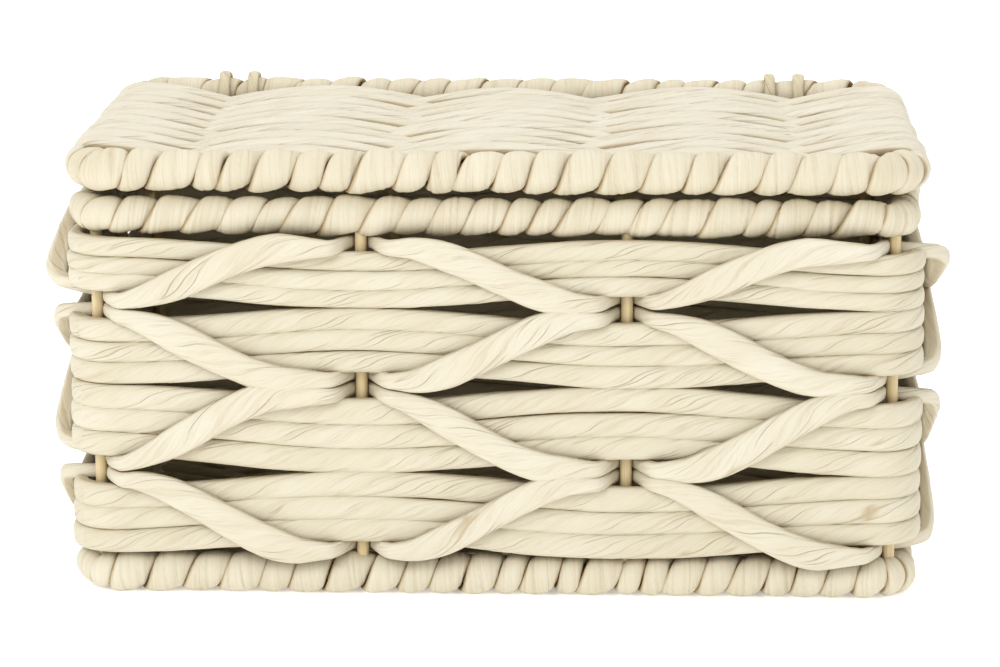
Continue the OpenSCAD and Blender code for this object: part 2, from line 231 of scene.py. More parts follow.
def creases(rng, s, total, phi, turn, closed, every, depth, width, reach):
    """Depth (n, k) of the folds of twisted paper: each runs along the twist for a short way and fades out.
    There is one for every stretch of the strand; width is an angle and reach a range of lengths."""
    field = np.zeros((len(s), len(phi)))
    for _ in range(int(total / every)):
        at = rng.uniform(0, total)
        side = rng.uniform(0, TAU)
        long = rng.uniform(*reach)
        deep = depth * rng.uniform(0.35, 1.0)
        wide = width * rng.uniform(0.7, 1.4)
        lip = rng.choice((-1.0, 1.0))
        ds = s - at
        if closed:
            ds = (ds + total / 2) % total - total / 2
        near = np.nonzero(np.abs(ds) < FOLD_EXTENT * long)[0]
        if not len(near):
            continue
        fade = np.exp(-(ds[near] / long) ** 2)[:, None]
        off = wrapped(phi[None, :] - side - turn * ds[near][:, None])
        raised = np.exp(-((off - lip * LIP_AWAY * wide) / (LIP_WIDTH * wide)) ** 2)
        field[near] += deep * fade * (-np.exp(-(off / wide) ** 2) + LIP_HEIGHT * raised)
    return field


# ---------------------------------------------------------------- the strand


PLAIN_FOLDS = dict(every=3.8 * MM, depth=0.24 * MM, width=0.11, reach=(7 * MM, 19 * MM))
END_ROUNDING = 0.7  # open ends round off over this share of the half width
END_LEAST = 0.05
FULL_SHADE_DEPTH = 0.5 * MM  # a fold as deep as this gets the full painted shade
EDGE_SHADE_FROM = 0.92  # the painted shade along an edge starts at this share of the half width
EDGE_SHADE_OVER = 0.07
TONE_DRIFT = 0.25
TONE_STEP = 45 * MM
TEXTURE_SPAN = 20  # each strand takes its fibres from its own place in the texture


def strand(name, path, out, half_w, half_t, *, seed, cols, power, twist, tone, closed=False,
           crease=PLAIN_FOLDS, roll=None, inner_t=None, lobe=0.05 * MM, edge=0.8):
    """A soft flattened strand of twisted paper swept along path. out points to its outer face; half_w and
    half_t are its half width and half thickness (inner_t on the inner side, if it differs), and twist is
    the length of one turn of its twist. edge is how strongly painted shade darkens its edges, as it darkens
    the folds."""
    rng = np.random.default_rng(seed)
    path, out = np.asarray(path, float), np.asarray(out, float)
    count = len(path)
    s, total = lengths_along(path, closed)
    side, outer = directions(path, out, closed)
    if roll is not None:
        c, q = np.cos(roll)[:, None], np.sin(roll)[:, None]
        side, outer = side * c + outer * q, outer * c - side * q
    half_w = np.broadcast_to(half_w, (count,)).astype(float)
    half_t = np.broadcast_to(half_t, (count,)).astype(float)
    phi = np.linspace(0, TAU, cols, endpoint=False) - math.pi / 2
    turn = -TAU / twist
    cosine, sine = np.cos(phi), np.sin(phi)
    x = np.sign(cosine) * np.abs(cosine) ** (2 / power)
    y = np.sign(sine) * np.abs(sine) ** (2 / power)

    whole = round(total / twist) / (total / twist) if closed else 1.0
    at = phi[None, :] - turn * whole * s[:, None]
    lobes = lobe * (np.cos(2 * at + 1.0) + 0.6 * np.cos(3 * at))
    folds = creases(rng, s, total, phi, turn, closed, **crease)
    push = folds + lobes

    radial = (outer[:, None, :] * (y * half_w[:, None])[..., None]
              + side[:, None, :] * (x * half_t[:, None])[..., None])
    radial /= np.linalg.norm(radial, axis=2, keepdims=True) + 1e-12
    inner = half_t[:, None] if inner_t is None else inner_t
    thickness = np.where(y[None, :] < 0, inner, half_t[:, None])
    points = (path[:, None, :] + side[:, None, :] * (x * half_w[:, None])[..., None]
              + outer[:, None, :] * (y * thickness)[..., None] + radial * push[..., None])
    if not closed:
        fade = np.minimum(s, total - s) / (END_ROUNDING * half_w.mean())
        shrink = np.sqrt(np.clip(1 - (1 - np.clip(fade, END_LEAST, 1)) ** 2, 0, 1))
        points = path[:, None, :] + (points - path[:, None, :]) * shrink[:, None, None]

    verts = points.reshape(-1, 3)
    rings = count if closed else count - 1
    i, k = np.meshgrid(np.arange(rings), np.arange(cols), indexing="ij")
    j, l = (i + 1) % count, (k + 1) % cols
    quads = np.stack([i * cols + k, j * cols + k, j * cols + l, i * cols + l], 2).reshape(-1, 4)
    around = (half_w.mean() + half_t.mean()) / 2 * TAU
    ends = np.append(s, total)
    u0, u1 = ends[i], ends[i + 1]

    def texture(u, column):
        return np.stack([u, column / cols * around - turn * u / TAU * around], 2)

    uv = np.stack([texture(u0, k), texture(u1, k), texture(u1, k + 1), texture(u0, k + 1)], 2)
    uv = uv.reshape(-1, 4, 2) + rng.uniform(0, TEXTURE_SPAN, 2)
    if faces_inward(verts, quads, path, cols):
        quads, uv = quads[:, ::-1], uv[:, ::-1]
    # painted shade: deep folds, and the side edges where a strand meets its neighbours, are darkened towards
    # the fold brown
    painted_shade = (np.clip(-folds / FULL_SHADE_DEPTH, 0, 1)
              + edge * np.clip((np.abs(x) - EDGE_SHADE_FROM) / EDGE_SHADE_OVER, 0, 1))
    drift = TONE_DRIFT * wander(rng, total, s, TONE_STEP, closed)
    toned = np.repeat(np.clip(tone + drift, 0, 1), cols)
    mesh = make_mesh(name, verts, quads, uv.reshape(-1, 2), painted_shade.reshape(-1), toned)
    if not closed:
        close_ends(mesh)
    obj = bpy.data.objects.new(name, mesh)
    bpy.context.scene.collection.objects.link(obj)
    return obj


def faces_inward(verts, quads, path, cols):
    """True if the quads' corners run so that their normals point into the strand."""
    a, b, d = verts[quads[:, 0]], verts[quads[:, 1]], verts[quads[:, 3]]
    normal = np.cross(b - a, d - a)
    away = a - path[quads[:, 0] // cols]
    return float((normal * away).sum()) < 0


def make_mesh(name, verts, quads, uv, painted_shade, toned):
    mesh = bpy.data.meshes.new(name)
    mesh.vertices.add(len(verts))
    mesh.vertices.foreach_set("co", verts.astype(np.float32).reshape(-1))
    mesh.loops.add(quads.size)
    mesh.loops.foreach_set("vertex_index", quads.astype(np.int32).reshape(-1))
    mesh.polygons.add(len(quads))
    mesh.polygons.foreach_set("loop_start", np.arange(0, quads.size, 4, dtype=np.int32))
    mesh.update(calc_edges=True)
    mesh.polygons.foreach_set("use_smooth", np.ones(len(quads), bool))
    layer = mesh.uv_layers.new(name="along")
    layer.data.foreach_set("uv", uv.astype(np.float32).reshape(-1))
    for label, values in (("painted_shade", painted_shade), ("tone", toned)):
        attribute = mesh.attributes.new(label, "FLOAT", "POINT")
        attribute.data.foreach_set("value", values.astype(np.float32))
    mesh.validate()
    return mesh


def close_ends(mesh):
    bm = bmesh.new()
    bm.from_mesh(mesh)
    edges = [e for e in bm.edges if len(e.link_faces) == 1]
    bmesh.ops.holes_fill(bm, edges=edges, sides=0)
    bmesh.ops.recalc_face_normals(bm, faces=bm.faces)
    bm.to_mesh(mesh)
    bm.free()


def placed(obj, body, slot, material, *nodes):
    obj.data.materials.append(material)
    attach(obj, body)
    if nodes:
        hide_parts(*nodes)
    return obj


# ---------------------------------------------------------------- materials


class Nodes:
    """Short calls for building a node tree."""

    def __init__(self, name):
        self.material = bpy.data.materials.new(name)
        self.material.use_nodes = True
        self.tree = self.material.node_tree
        self.shader = self.tree.nodes["Principled BSDF"]

    def add(self, kind, **settings):
        node = self.tree.nodes.new(kind)
        for key, value in settings.items():
            if key.startswith("in_"):
                label = key[3:].replace("_", " ")
                target = int(label) if label.isdigit() else label
                socket = node.inputs[target]
                if isinstance(value, bpy.types.NodeSocket):
                    self.tree.links.new(value, socket)
                else:
                    socket.default_value = value
            else:
                setattr(node, key, value)
        return node

    def math(self, operation, a, b=0.0, clamp=False):
        node = self.add("ShaderNodeMath", operation=operation, in_0=a, in_1=b)
        node.use_clamp = clamp
        return node.outputs[0]

    def mix(self, factor, a, b):
        node = self.add("ShaderNodeMix", data_type="RGBA")
        for socket, value in ((node.inputs[0], factor), (node.inputs[6], a), (node.inputs[7], b)):
            if isinstance(value, bpy.types.NodeSocket):
                self.tree.links.new(value, socket)
            else:
                socket.default_value = value
        return node.outputs[2]

    def stretched_noise(self, coordinate, scale, detail, roughness):
        mapping = self.add("ShaderNodeMapping", in_Vector=coordinate, in_Scale=scale)
        noise = self.add("ShaderNodeTexNoise", in_Vector=mapping.outputs[0], in_Scale=1.0,
                         in_Detail=detail, in_Roughness=roughness)
        return noise.outputs["Fac"]

    def ramp(self, value, low, high):
        node = self.add("ShaderNodeMapRange", in_Value=value, in_1=low, in_2=high)
        return node.outputs[0]

    def bump(self, height, strength, distance, under=None):
        node = self.add("ShaderNodeBump", in_Height=height, in_Strength=strength, in_Distance=distance)
        if under is not None:
            self.tree.links.new(under, node.inputs["Normal"])
        return node.outputs[0]

    def link(self, value, socket):
        self.tree.links.new(value, self.shader.inputs[socket])


def srgb(r, g, b):
    def linear(c):
        c /= 255
        return c / 12.92 if c <= 0.04045 else ((c + 0.055) / 1.055) ** 2.4
    return (linear(r), linear(g), linear(b), 1.0)


FIBRE_AND_SHADE_BROWN = srgb(158, 128, 74)  # the brown of the paper's fibres, and the painted shade in its folds, creases and edges
# How finely each pattern repeats along a strand and across it
FIBRE_SCALE = (80, 2400, 1)
PLEAT_SCALE = (26, 560, 1)
PATCH_SCALE = (35, 110, 1)
LINE_SCALE = (9, 330, 1)
LINE_PRESENCE_SCALE = (45, 160, 1)
LINE_HALF_WIDTH = 0.016
# How much each pattern says in the shade from deep to pale
TONE_SHARE = 0.5
PATCH_SHARE = 0.4
PLEAT_SHARE = 0.5
# How far each takes the colour towards the fold brown: for the fibres it is the paper's own colour, for the
# crease lines and for the folds and edges it is painted shade
FIBRE_TINT = 0.2
CREASE_SHADE_TINT = 0.42
PAINTED_SHADE_STRENGTH = 0.35


def paper_material(name, pale, deep, pleat=1.0, crease=1.0):
    """Soft matte twisted paper: fine fibres and pleats along the twist, thin sharp creases darkened with
    painted shade, and painted shade in the folds and along the strand edges."""
    n = Nodes(name)
    along = n.add("ShaderNodeUVMap", uv_map="along").outputs[0]
    painted_shade = n.add("ShaderNodeAttribute", attribute_name="painted_shade").outputs["Fac"]
    tone = n.add("ShaderNodeAttribute", attribute_name="tone").outputs["Fac"]
    fibres = n.stretched_noise(along, FIBRE_SCALE, 4, 0.6)
    pleats = n.stretched_noise(along, PLEAT_SCALE, 3, 0.55)
    patches = n.stretched_noise(along, PATCH_SCALE, 3, 0.5)
    paths = n.stretched_noise(along, LINE_SCALE, 0, 0.5)
    presence = n.stretched_noise(along, LINE_PRESENCE_SCALE, 1, 0.5)
    distance = n.math("ABSOLUTE", n.math("SUBTRACT", paths, 0.5))
    line = n.math("SUBTRACT", 1.0, n.ramp(distance, 0.0, LINE_HALF_WIDTH), clamp=True)
    line = n.math("MULTIPLY", line, n.ramp(presence, 0.46, 0.62))
    patched = n.math("MULTIPLY", n.ramp(patches, 0.3, 0.7), PATCH_SHARE)
    pleated = n.math("MULTIPLY", n.math("SUBTRACT", pleats, 0.4), PLEAT_SHARE)
    shade = n.math("ADD", n.math("MULTIPLY", tone, TONE_SHARE), patched)
    shade = n.math("ADD", shade, pleated, clamp=True)
    colour = n.mix(shade, deep, pale)
    colour = n.mix(n.math("MULTIPLY", n.ramp(fibres, 0.5, 0.75), FIBRE_TINT), colour, FIBRE_AND_SHADE_BROWN)
    # painted shade: the crease lines darken towards the fold brown
    colour = n.mix(n.math("MULTIPLY", line, CREASE_SHADE_TINT * crease), colour, FIBRE_AND_SHADE_BROWN)
    # painted shade in the folds and along the strand edges
    colour = n.mix(n.math("MULTIPLY", painted_shade, PAINTED_SHADE_STRENGTH), colour, FIBRE_AND_SHADE_BROWN)
    n.link(colour, "Base Color")
    n.link(n.math("ADD", 0.55, n.math("MULTIPLY", fibres, 0.2)), "Roughness")
    n.shader.inputs["Specular IOR Level"].default_value = 0.3
    n.shader.inputs["Sheen Weight"].default_value = 0.05
    n.shader.inputs["Sheen Roughness"].default_value = 0.5
    relief = n.bump(fibres, 0.6, 0.12 * MM)
    relief = n.bump(pleats, 0.36 * pleat, 0.45 * MM, under=relief)
    relief = n.bump(n.math("SUBTRACT", 1.0, line), 0.7 * crease, 0.35 * MM, under=relief)
    n.link(relief, "Normal")
    return n.material


REED_SCALE_ACROSS = 900.0
REED_SCALE_ALONG = 22.0


def reed_material(name, pale, deep, axis):
    """Dry reed or rattan: long straight grain along its axis, with darker flecks."""
    n = Nodes(name)
    place = n.add("ShaderNodeTexCoord").outputs["Object"]
    stretch = [REED_SCALE_ACROSS] * 3
    stretch[axis] = REED_SCALE_ALONG
    grain = n.stretched_noise(place, stretch, 5, 0.6)
    broad = n.stretched_noise(place, [v / 4 for v in stretch], 3, 0.5)
    colour = n.mix(n.ramp(grain, 0.3, 0.72), deep, pale)
    colour = n.mix(n.math("MULTIPLY", n.ramp(broad, 0.55, 0.75), 0.4), colour, deep)
    n.link(colour, "Base Color")
    n.link(n.math("ADD", 0.42, n.math("MULTIPLY", grain, 0.25)), "Roughness")
    n.link(n.bump(grain, 0.5, 0.15 * MM), "Normal")
    return n.material


PAPER_WALL = paper_material("paper_wall", srgb(222, 217, 201), srgb(209, 201, 179))
PAPER_LACE = paper_material("paper_lace", srgb(224, 219, 204), srgb(211, 203, 182))
PAPER_RIM = paper_material("paper_rim", srgb(224, 218, 201), srgb(210, 201, 178), pleat=1.5, crease=0.5)
PAPER_LID = paper_material("paper_lid", srgb(224, 219, 205), srgb(213, 206, 187))
PAPER_TIE = paper_material("paper_tie", srgb(220, 213, 194), srgb(206, 195, 167))
REED_UPRIGHT = reed_material("reed_upright", srgb(232, 218, 186), srgb(213, 194, 155), 2)
REED_LEVEL = reed_material("reed_level", srgb(222, 207, 172), srgb(202, 182, 142), 1)
RATTAN = reed_material("rattan_rod", srgb(206, 188, 150), srgb(180, 156, 114), 0)

# ---------------------------------------------------------------- walls

STEP = 1.4 * MM
WALL_SEED = 100


def ring_lengths(step=STEP):
    return np.linspace(0, PERIMETER, int(PERIMETER / step), endpoint=False)


def lift(row, s):
    """How far a row's strands are raised or lowered, so that they part where the lacing strands pass."""
    k, t = bay_of(s)
    a, b = lace_side(row, k), lace_side(row, k + 1)
    wave = (1 - np.cos(math.pi * t / BAYS[k])) / 2
    return (a + (b - a) * wave) * EYE_OPEN / 2


WALL_SWAY = 0.5 * MM  # how far a strand wanders up and down
WALL_STAND_OFF = 0.25 * MM  # how far it stands off the middle of its space, and how much that changes
WALL_STAND_OFF_CHANGE = 0.35 * MM


def drift(rng, s, step):
    """A smooth random line, about -1 to 1, that closes up round the whole basket; step is in millimetres."""
    return wander(rng, PERIMETER, s, step * MM, True)


def wall_strand(row, level):
    """One of a row's three strands, which lies round the whole basket outside the stakes."""
    node = f"row_{row}_{LEVELS[level]}_strand"
    rng = np.random.default_rng(WALL_SEED + 10 * row + level)
    s = ring_lengths()
    base, normal = round_at(s)
    depth = (STAKE_R + STRAND_OUT) / 2
    sway = WALL_SWAY * drift(rng, s, 55)
    out = depth + WALL_STAND_OFF + WALL_STAND_OFF_CHANGE * drift(rng, s, 35)
    pitch = STRAND_PITCH[row] * ROW_SQUEEZE
    z = ROW_CENTRE[row] + (level - 1) * pitch + lift(row, s) + sway
    path = np.column_stack([base + normal * out[:, None], z])
    outward = np.column_stack([normal, np.zeros(len(s))])
    half_w = pitch / 2 * (1.08 + 0.09 * drift(rng, s, 32))
    half_t = (STRAND_OUT - STAKE_R) / 2 * (0.97 + 0.07 * drift(rng, s, 40))
    obj = strand(node.replace("_strand", "_rope"), path, outward, half_w, half_t, closed=True, cols=40,
                 seed=WALL_SEED + 50 + 10 * row + level, twist=0.075, power=2.8,
                 tone=rng.uniform(0.4, 0.65))
    return placed(obj, "basket", "wall_strand", PAPER_WALL, node)


# Where along each bay the lacing strand crosses its row, as a share of the bay: three front bays, then
# two on the right, three at the back and two on the left. Beside the front right corner it crosses early
# and beside the front left corner late, which is near the corner both times.
CROSSINGS = {1: (0.40, 0.50, 0.36, 0.27, 0.55, 0.46, 0.56, 0.43, 0.52, 0.72),
             2: (0.40, 0.50, 0.42, 0.32, 0.45, 0.57, 0.42, 0.50, 0.45, 0.70),
             3: (0.38, 0.40, 0.54, 0.30, 0.52, 0.44, 0.54, 0.40, 0.56, 0.72),
             4: (0.46, 0.48, 0.42, 0.33, 0.44, 0.55, 0.45, 0.56, 0.48, 0.68)}
CROSSING_SPAN = 0.62
LACE_EASED = 0.7  # this share of the crossing eases in and out, and the rest is straight
LACE_EXIT = 12 * MM  # the length from a stake by which the strand has come out in front of the row
LACE_EXIT_START = 1.5 * MM
LACE_BEHIND_GAP = 0.3 * MM  # between the strand and the inner face of a stake
LACE_PRESS = 0.2 * MM  # how far the strand presses into the row it crosses
LACE_NECK_GAP = 0.2 * MM  # left free above and below the neck in the eye between two rows
LACE_WIDEN_START = 4 * MM
LACE_WIDEN_OVER = 32 * MM
LACE_HALF_T = 2.3 * MM
LACE_HALF_W = 5.9 * MM
# On the side walls the lacing loops stand out near the corners, most of all in the top row
SIDE_BULGE = {1: 4.6 * MM, 2: 2.6 * MM, 3: 2.8 * MM, 4: 1.8 * MM}
BULGE_AT = 15 * MM
BULGE_START = 0.4 * LACE_EXIT
BULGE_OVER = 16 * MM
BULGE_FULL = 4 * MM  # a loop that stands out this far is rounded fully
BULGE_ROUNDING = 1.5 * MM
PLAIN_BULGE = 0.4 * MM  # on the front and the back
BAYS_FROM_CORNER = (3, 8)  # the side bays that start at a corner; the other two end at one
LACE_INNER_T = 1.7 * MM
LACE_INNER_FILL = 0.85  # the share of a loop's bulge that is filled on its inner side
LACE_FOLDS = dict(every=2.6 * MM, depth=0.2 * MM, width=0.1, reach=(8 * MM, 24 * MM))


def lacing(row):
    """The lacing strand of a row: in behind each stake, out and slantwise across the row to the next."""
    node = f"row_{row}_lacing"
    rng = np.random.default_rng(WALL_SEED + 200 + row)
    s = ring_lengths(1.2 * MM)
    base, normal = round_at(s)
    k, t = bay_of(s)
    length = BAYS[k]
    near = np.minimum(t, length - t)
    share = np.clip((t / length - np.array(CROSSINGS[row])[k]) / CROSSING_SPAN + 0.5, 0, 1)
    rise = (1 - LACE_EASED) * share + LACE_EASED * ease(share)
    sway = 0.35 * MM * drift(rng, s, 40)
    z = ROW_CENTRE[row] + lace_side(row, k) * ROW_HALF[row] * (2 * rise - 1) + sway

    inner = -(STAKE_R + LACE_HALF_T + LACE_BEHIND_GAP)
    outer = STRAND_OUT + LACE_HALF_T - LACE_PRESS
    on_side = np.abs(normal[:, 0]) > 0.9
    corner_gap = np.where(np.isin(k, BAYS_FROM_CORNER), t, length - t)
    loop = SIDE_BULGE[row] * corner_gap / BULGE_AT * np.exp(1 - corner_gap / BULGE_AT)
    bulge = np.where(on_side, loop, PLAIN_BULGE) * ease((near - BULGE_START) / BULGE_OVER)
    go = ease((near - LACE_EXIT_START) / (LACE_EXIT - LACE_EXIT_START))
    out = inner + (outer - inner) * go + bulge
    path = np.column_stack([base + normal * out[:, None], z])
    outward = np.column_stack([normal, np.zeros(len(s))])

    neck = EYE_OPEN / 2 - LACE_NECK_GAP
    full = LACE_HALF_W * (1 + 0.1 * drift(rng, s, 30))
    rounder = np.clip(bulge / BULGE_FULL, 0, 1)
    half_w = neck + (full - neck) * ease((near - LACE_WIDEN_START) / LACE_WIDEN_OVER)
    half_w *= 1 - 0.12 * rounder
    half_t = (LACE_HALF_T + BULGE_ROUNDING * rounder) * (1 + 0.08 * drift(rng, s, 30))
    inner_t = (LACE_INNER_T + LACE_INNER_FILL * bulge)[:, None]
    obj = strand(f"row_{row}_lacing_rope", path, outward, half_w, half_t, closed=True, cols=44, power=2.7,
                 seed=WALL_SEED + 300 + row, twist=0.085, tone=0.6, inner_t=inner_t, crease=LACE_FOLDS)
    return placed(obj, "basket", "lacing_strand", PAPER_LACE, node)


# ---------------------------------------------------------------- wrapped rims


CORNER_TURNS = 0.6  # how much closer together the turns lie round a corner
CORNER_EASE = 4 * MM
LEAN_SCATTER = 7  # degrees either way by which single turns lean more or less
STEP_SCATTER = 0.26  # share by which single turns are wider or narrower
RINGS_PER_TURN = 30
TURN_HOLD = 0.7  # a turn keeps its own width, lean and swell over this share of its way round
RIM_INNER_T = 0.6 * MM
# how strongly the edges of each wrapped turn get painted shade, where turn meets turn
RIM_EDGE_SHADE = 2.0
RIM_FOLDS = dict(every=1.3 * MM, depth=0.24 * MM, width=0.1, reach=(4 * MM, 12 * MM))


def bend_at(s):
    """1 round a corner of the basket and 0 along its straight sides, with a short ease between the two."""
    total = np.zeros(len(s))
    for shift in np.linspace(-CORNER_EASE, CORNER_EASE, 9):
        normal = round_at(s + shift)[1]
        total += np.abs(normal[:, 0] * normal[:, 1]) > 1e-6
    return total / 9


def wrapped_rim(name, node, body, z, radius, start, stop, *, pitch, lean, seed, closed, tone=0.55,
                outer_t=3.2 * MM):
    """Paper strip wound round a rim rod, turn beside turn, between two lengths round the basket. lean is
    the slant of the turns in degrees where they show."""
    rng = np.random.default_rng(seed)
    fine = np.linspace(start, stop, int((stop - start) / (0.5 * MM)))
    spacing = 1 + CORNER_TURNS * bend_at(fine)
    wound = np.concatenate([[0.0], np.cumsum((spacing[1:] + spacing[:-1]) / 2 * np.diff(fine))])
    turns = int(round(wound[-1] / pitch))
    count = turns * RINGS_PER_TURN
    t = np.arange(count + (0 if closed else 1)) / RINGS_PER_TURN
    steps = 1 + STEP_SCATTER * rng.uniform(-1, 1, turns)
    steps *= wound[-1] / steps.sum()
    edge = np.concatenate([[0.0], np.cumsum(steps)])
    theta = TAU * t + math.pi
    middle_r = radius - outer_t

    def per_turn_value(values):
        """Holds one value through most of each turn and passes to the next at the inside of the rim."""
        i = np.minimum(np.floor(t).astype(int), turns - 1)
        following = np.where(i + 1 < turns, i + 1, 0 if closed else turns - 1)
        f = ease((t - i - TURN_HOLD) / (1 - TURN_HOLD))
        return values[i] + (values[following] - values[i]) * f

    own_step = per_turn_value(steps)
    own_lean = lean + LEAN_SCATTER * per_turn_value(rng.uniform(-1, 1, turns))
    slant = middle_r * np.tan(np.radians(own_lean)) - pitch / TAU
    s = np.interp(np.interp(t, np.arange(turns + 1), edge), wound, fine) + slant * np.sin(theta)
    swell = per_turn_value(rng.uniform(-0.45, 0.3, turns)) * MM
    roll = per_turn_value(rng.uniform(-0.06, 0.24, turns))
    fill = per_turn_value(rng.uniform(0.46, 0.515, turns))
    base, normal = round_at(s)
    r = middle_r + swell
    level = np.column_stack([normal, np.zeros(len(s))])
    up = np.array([0.0, 0.0, 1.0])
    direction = np.cos(theta)[:, None] * level + np.sin(theta)[:, None] * up
    path = np.column_stack([base, np.full(len(s), z)]) + r[:, None] * direction
    bend = bend_at(s)
    reach = (middle_r + outer_t) / CORNER_R
    spread = np.clip(1 + reach * bend * np.cos(theta), 0.5, None) / (1 + CORNER_TURNS * bend)
    half_w = own_step * fill * spread
    obj = strand(name, path, direction, half_w, outer_t, seed=seed + 1, closed=closed, cols=36, power=2.05,
                 twist=0.07, roll=roll, tone=tone, inner_t=RIM_INNER_T, lobe=0.0, edge=RIM_EDGE_SHADE,
                 crease=RIM_FOLDS)
    return placed(obj, body, "rim_wrap", PAPER_RIM, node)


def keep_above_floor(obj):
    """Presses the underside of the base rim flat on the floor."""
    mesh = obj.data
    co = np.zeros(len(mesh.vertices) * 3)
    mesh.vertices.foreach_get("co", co)
    co = co.reshape(-1, 3)
    co[:, 2] = np.maximum(co[:, 2], 0.0)
    mesh.vertices.foreach_set("co", co.reshape(-1))
    mesh.update()


FRONT_LEFT = QUARTER / 2
FRONT_RIGHT = QUARTER / 2 + 2 * STRAIGHT_W
BACK_RIGHT = STAKE_S[5] + QUARTER / 2
BACK_LEFT = BACK_RIGHT + 2 * STRAIGHT_W


def rims():
    base = wrapped_rim("base_rim_wrap", "base_wrap", "basket", BASE_Z, BASE_WRAP_R, 0, PERIMETER,
                       pitch=12.0 * MM, lean=20, seed=411, closed=True, tone=0.95)
    keep_above_floor(base)
    wrapped_rim("top_rim_wrap", "top_wrap", "basket", TOP_Z, TOP_WRAP_R, 0, PERIMETER,
                pitch=13.0 * MM, lean=38, seed=423, closed=True)
    wrapped_rim("lid_front_rim_wrap", "lid_front_wrap", "lid", LID_Z, LID_FRONT_R,
                FRONT_LEFT - QUARTER * 0.9, FRONT_RIGHT + QUARTER * 0.9,
                pitch=13.4 * MM, lean=24, seed=437, closed=False)
    back_room = extent("lid_back_wrap").y - LID_BACK_R - CORNER_R
    wrapped_rim("lid_back_rim_wrap", "lid_back_wrap", "lid", LID_Z, LID_BACK_R,
                BACK_RIGHT - QUARTER - back_room, BACK_LEFT + QUARTER + back_room,
                pitch=13.4 * MM, lean=24, seed=441, closed=False)


# ---------------------------------------------------------------- plain weave of lid and base

CROSS_STEP = HALF_W / 2
LID_STRANDS = [n for n in sorted(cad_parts) if n.startswith("lid_strand_")]
LID_HALF_T = 2.55 * MM
LID_SPREAD = 0.52  # the strands spread this much wider where they cross a rod
LID_PRESS = 0.2 * MM  # how far a strand beds into a cross rod
LID_WAVE_SHIFT = 4.5 * MM  # how far the waves wander off the rods
HOOK_SLACK = 2.6 * MM  # how far the hooked ends stand off the side rods at most
HOOK_ANGLES = np.arange(10, 166, 10)  # degrees round the side rod
LAST_THINNER = 0.4 * MM  # the strand at the hinge
FIRST_FORWARD = 0.6 * MM  # the strand at the front rim lies a little forward and is wider
FIRST_WIDER = 0.4 * MM


def weave_height(x, side, bed, end_bed):
    """Height of a strand over and under the cross rods, easing to another height beyond the last ones."""
    past = ease((np.abs(x) - CROSS_STEP) / (HALF_W - CROSS_STEP))
    return side * np.cos(math.pi * x / CROSS_STEP) * (bed + (end_bed - bed) * past)


def lid_rope(number, node):
    """A strand of the lid, left to right over and under the cross rods and hooked round the side rods."""
    low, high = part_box(node)
    rng = np.random.default_rng(500 + number)
    side = 1.0 if number % 2 == 0 else -1.0
    half_t = LID_HALF_T if number < len(LID_STRANDS) else LID_HALF_T - LAST_THINNER
    end_bed = ROD_R + half_t
    cross_r = extent("lid_cross_rods").z / 2
    bed = cross_r + half_t - LID_PRESS

    x = np.linspace(-HALF_W, HALF_W, int(2 * HALF_W / (1.3 * MM)))
    from_left = x + HALF_W
    shift = (LID_WAVE_SHIFT * wander(rng, 2 * HALF_W, from_left, 60 * MM)
             * np.sin(math.pi * from_left / (2 * HALF_W)))
    run = np.column_stack([x, weave_height(x + shift, side, bed, end_bed)])
    angle = np.radians(HOOK_ANGLES)
    right_slack, left_slack = rng.uniform(0.0, HOOK_SLACK, 2)
    hook = np.column_stack([HALF_W + end_bed * np.sin(angle), side * end_bed * np.cos(angle)])
    left = hook[::-1] * np.array([-1, 1])
    hook[:, 0] += right_slack * np.sin(angle)
    left[:, 0] -= left_slack * np.sin(angle[::-1])
    line = np.concatenate([left, run, hook])
    tangent = np.gradient(line, axis=0)
    tangent /= np.linalg.norm(tangent, axis=1, keepdims=True)
    out = np.column_stack([-tangent[:, 1], np.zeros(len(line)), tangent[:, 0]])

    s = np.arange(len(line), dtype=float)  # counted in points of the line, as the spans below are
    total = s[-1]
    y_mid = (low.y + high.y) / 2
    width = (high.y - low.y) / 2
    y = y_mid + 0.35 * MM * wander(rng, total, s, 40)
    crest = np.clip(np.abs(line[:, 1]) / bed, 0, 1)
    half_w = width * (1.12 + 0.05 * wander(rng, total, s, 25)) * (1 + LID_SPREAD * crest ** 2)
    if number == 1:
        y = y - FIRST_FORWARD
        half_w = half_w + FIRST_WIDER
    path = np.column_stack([line[:, 0], y, LID_Z + line[:, 1] + 0.2 * MM * wander(rng, total, s, 30)])
    # edge=1.3 gives the lid strands painted shade along their edges, between neighbours
    obj = strand(f"lid_rope_{number:02d}", path, out, half_w, half_t, seed=540 + number, cols=28,
                 power=2.5, twist=0.09, tone=rng.uniform(0.4, 0.75), edge=1.3)
    return placed(obj, "lid", "lid_strand", PAPER_LID, node)


BASE_ROPES = 20
BASE_HALF_T = 2.0 * MM
BASE_FOLDS = dict(every=4 * MM, depth=0.35 * MM, width=0.3, reach=(8 * MM, 18 * MM))


